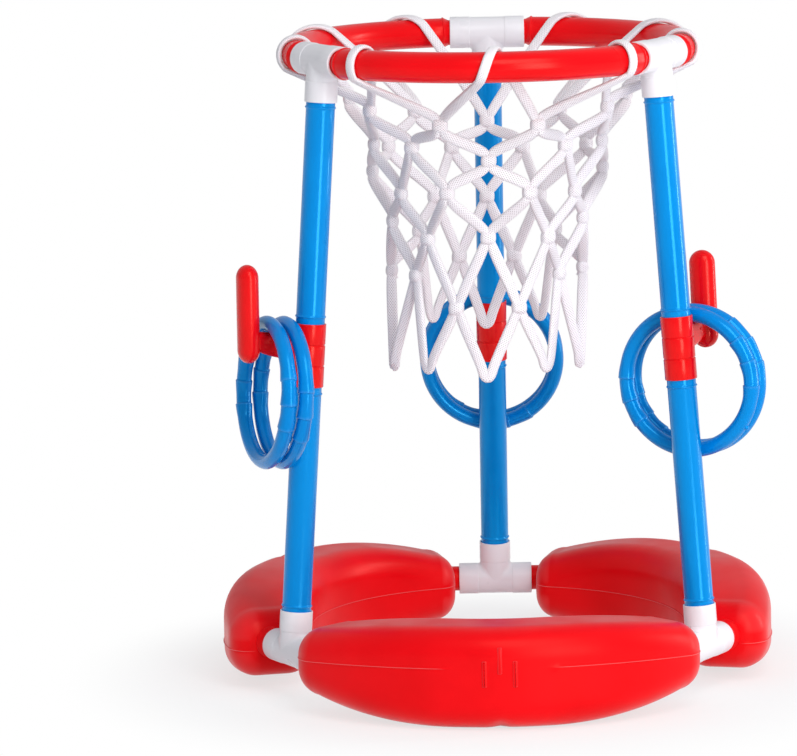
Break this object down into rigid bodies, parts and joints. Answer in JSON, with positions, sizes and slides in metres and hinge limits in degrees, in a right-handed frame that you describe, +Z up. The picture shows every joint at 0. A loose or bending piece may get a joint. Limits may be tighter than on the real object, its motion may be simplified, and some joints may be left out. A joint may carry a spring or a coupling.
{
  "type": "floating pool basketball hoop",
  "caption": "Floating pool basketball hoop: arc floats joined by tees, tube legs leaning in to a round rim with a cord net, and turning hook clips on the legs that hold toss rings.",
  "frame": {"origin": "bottom centre of the whole hoop, on the floats' underside", "axes": "+Z up, the hoop's tallest direction; -Y towards the front float, +X to the right seen from the front"},
  "size_m": [0.5578, 0.5676, 0.6566],
  "materials": {
    "red_plastic": "glossy moulded plastic",
    "blue_plastic": "glossy moulded plastic",
    "white_plastic": "glossy moulded plastic",
    "white_cord": "soft knitted cord"
  },
  "bodies": {
    "frame": {"float_back_left": "red_plastic", "float_front": "red_plastic", "float_back_right": "red_plastic", "float_plug_back_left": "red_plastic", "float_plug_front": "red_plastic", "float_plug_back_right": "red_plastic", "base_tee_back": "white_plastic", "base_tee_left": "white_plastic", "base_tee_right": "white_plastic", "leg_lower_back": "blue_plastic", "leg_lower_left": "blue_plastic", "leg_lower_right": "blue_plastic", "leg_upper_back": "blue_plastic", "leg_upper_left": "blue_plastic", "leg_upper_right": "blue_plastic", "top_tee_back": "white_plastic", "top_tee_left": "white_plastic", "top_tee_right": "white_plastic", "rim_tube_back_left": "red_plastic", "rim_tube_front": "red_plastic", "rim_tube_back_right": "red_plastic", "net": "white_cord"},
    "clip_back": {"hook_clip_back": "red_plastic"},
    "clip_left": {"hook_clip_left": "red_plastic"},
    "clip_right": {"hook_clip_right": "red_plastic"},
    "ring_back_1": {"toss_ring_back_1": "blue_plastic"},
    "ring_back_2": {"toss_ring_back_2": "blue_plastic"},
    "ring_left_1": {"toss_ring_left_1": "blue_plastic"},
    "ring_left_2": {"toss_ring_left_2": "blue_plastic"},
    "ring_right_1": {"toss_ring_right_1": "blue_plastic"},
    "ring_right_2": {"toss_ring_right_2": "blue_plastic"}
  },
  "joints": [
    {"name": "clip_back_swivel", "type": "hinge", "parent": "frame", "child": "clip_back", "pos_m": [0, 0.21021, 0.32107], "axis": [0, -0.078, 0.997], "continuous": true},
    {"name": "clip_left_swivel", "type": "hinge", "parent": "frame", "child": "clip_left", "pos_m": [-0.1834, -0.10947, 0.34694], "axis": [0.0675, 0.039, 0.997], "continuous": true},
    {"name": "clip_right_swivel", "type": "hinge", "parent": "frame", "child": "clip_right", "pos_m": [0.18332, -0.10943, 0.34812], "axis": [-0.0675, 0.039, 0.997], "continuous": true},
    {"name": "ring_back_1_swing", "type": "hinge", "parent": "clip_back", "child": "ring_back_1", "pos_m": [0, 0.2338, 0.33997], "axis": [0, 0.997, 0.078], "range_deg": [-30, 30]},
    {"name": "ring_back_2_swing", "type": "hinge", "parent": "clip_back", "child": "ring_back_2", "pos_m": [0, 0.25135, 0.34134], "axis": [0, 0.997, 0.078], "range_deg": [-30, 30]},
    {"name": "ring_left_1_swing", "type": "hinge", "parent": "clip_left", "child": "ring_left_1", "pos_m": [-0.20552, -0.11773, 0.36581], "axis": [-0.931, -0.3569, 0.077], "range_deg": [-30, 30]},
    {"name": "ring_left_2_swing", "type": "hinge", "parent": "clip_left", "child": "ring_left_2", "pos_m": [-0.22191, -0.12401, 0.36717], "axis": [-0.931, -0.3569, 0.077], "range_deg": [-30, 30]},
    {"name": "ring_right_1_swing", "type": "hinge", "parent": "clip_right", "child": "ring_right_1", "pos_m": [0.19391, -0.08669, 0.365], "axis": [0.4696, 0.8829, -0.0027], "range_deg": [-30, 30]},
    {"name": "ring_right_2_swing", "type": "hinge", "parent": "clip_right", "child": "ring_right_2", "pos_m": [0.20217, -0.07115, 0.36495], "axis": [0.4696, 0.8829, -0.0027], "range_deg": [-30, 30]}
  ]
}
